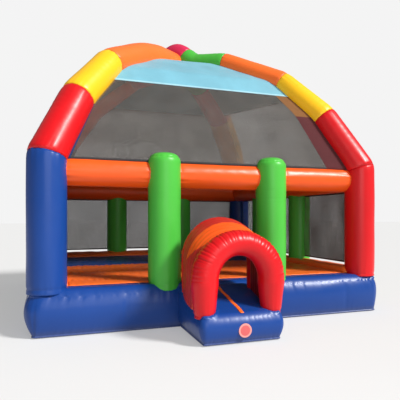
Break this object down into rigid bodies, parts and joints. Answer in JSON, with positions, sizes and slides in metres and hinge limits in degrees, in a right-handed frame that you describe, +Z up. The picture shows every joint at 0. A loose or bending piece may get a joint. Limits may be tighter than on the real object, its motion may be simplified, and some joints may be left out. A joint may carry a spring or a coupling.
{
  "type": "inflatable bounce house",
  "caption": "Open-fronted inflatable bounce house: padded base, posts and beams, crossing arches under a canopy, netted walls, and a crawl tunnel on a step at the front.",
  "frame": {"origin": "centre of the main base's underside, on the ground", "axes": "+Z up, front (the step and tunnel) towards -Y, +X to the right as seen from the front"},
  "size_m": [4.6806, 5.9046, 4.2273],
  "materials": {
    "blue_vinyl": "glossy coated PVC vinyl",
    "red_vinyl": "glossy coated PVC vinyl",
    "yellow_vinyl": "glossy coated PVC vinyl",
    "orange_vinyl": "glossy coated PVC vinyl",
    "green_vinyl": "glossy coated PVC vinyl",
    "crimson_vinyl": "glossy coated PVC vinyl",
    "amber_vinyl": "glossy coated PVC vinyl",
    "badge_vinyl": "satin printed vinyl",
    "sky_cloth": "coated canopy cloth",
    "net": "black knitted netting",
    "baffle_cloth": "woven coated cloth",
    "webbing": "woven webbing",
    "steel": "plated steel wire"
  },
  "bodies": {
    "house": {"base_shell": "blue_vinyl", "entry_step": "blue_vinyl", "blower_inlet_sleeve": "blue_vinyl", "front_left_post": "blue_vinyl", "back_left_post": "blue_vinyl", "back_right_post": "blue_vinyl", "back_left_arch_blue": "blue_vinyl", "floor_mat_center": "blue_vinyl", "front_right_post": "red_vinyl", "front_left_arch_red": "red_vinyl", "front_right_arch_red": "red_vinyl", "back_right_arch_red": "red_vinyl", "tunnel_front_ring": "red_vinyl", "tunnel_rear_ring": "red_vinyl", "front_left_arch_yellow": "yellow_vinyl", "front_right_arch_yellow": "yellow_vinyl", "front_left_arch_orange": "orange_vinyl", "front_right_arch_orange": "orange_vinyl", "back_left_arch_orange": "orange_vinyl", "floor_mat_front": "orange_vinyl", "wall_bolster": "orange_vinyl", "front_beam": "orange_vinyl", "back_beam": "orange_vinyl", "left_beam": "orange_vinyl", "right_beam": "orange_vinyl", "tunnel_sleeve": "orange_vinyl", "step_stripe": "orange_vinyl", "front_right_arch_green": "green_vinyl", "back_right_arch_green": "green_vinyl", "front_post_left_mid": "green_vinyl", "front_post_right_mid": "green_vinyl", "back_post_left_mid": "green_vinyl", "back_post_right_mid": "green_vinyl", "left_post_front_mid": "green_vinyl", "left_post_back_mid": "green_vinyl", "right_post_front_mid": "green_vinyl", "right_post_back_mid": "green_vinyl", "back_left_arch_crimson": "crimson_vinyl", "back_right_arch_amber": "amber_vinyl", "round_badge": "badge_vinyl", "front_canopy": "sky_cloth", "front_upper_net": "net", "back_canopy": "sky_cloth", "back_upper_net": "net", "back_lower_net": "net", "left_canopy": "sky_cloth", "left_upper_net": "net", "left_lower_net": "net", "right_canopy": "sky_cloth", "right_upper_net": "net", "right_lower_net": "net", "base_baffles": "baffle_cloth", "left_front_anchor_tab": "webbing", "left_back_anchor_tab": "webbing", "right_front_anchor_tab": "webbing", "right_back_anchor_tab": "webbing"},
    "left_front_ring": {"left_front_anchor_ring": "steel"},
    "left_back_ring": {"left_back_anchor_ring": "steel"},
    "right_front_ring": {"right_front_anchor_ring": "steel"},
    "right_back_ring": {"right_back_anchor_ring": "steel"}
  },
  "joints": [
    {"name": "left_front_anchor_swing", "type": "hinge", "parent": "house", "child": "left_front_ring", "pos_m": [-2.3303, -1.5, 0.175], "axis": [0, 1, 0], "range_deg": [-9, 150]},
    {"name": "left_back_anchor_swing", "type": "hinge", "parent": "house", "child": "left_back_ring", "pos_m": [-2.3303, 1.5, 0.175], "axis": [0, 1, 0], "range_deg": [-9, 150]},
    {"name": "right_front_anchor_swing", "type": "hinge", "parent": "house", "child": "right_front_ring", "pos_m": [2.3303, -1.5, 0.175], "axis": [0, -1, 0], "range_deg": [-9, 150]},
    {"name": "right_back_anchor_swing", "type": "hinge", "parent": "house", "child": "right_back_ring", "pos_m": [2.3303, 1.5, 0.175], "axis": [0, -1, 0], "range_deg": [-9, 150]}
  ]
}
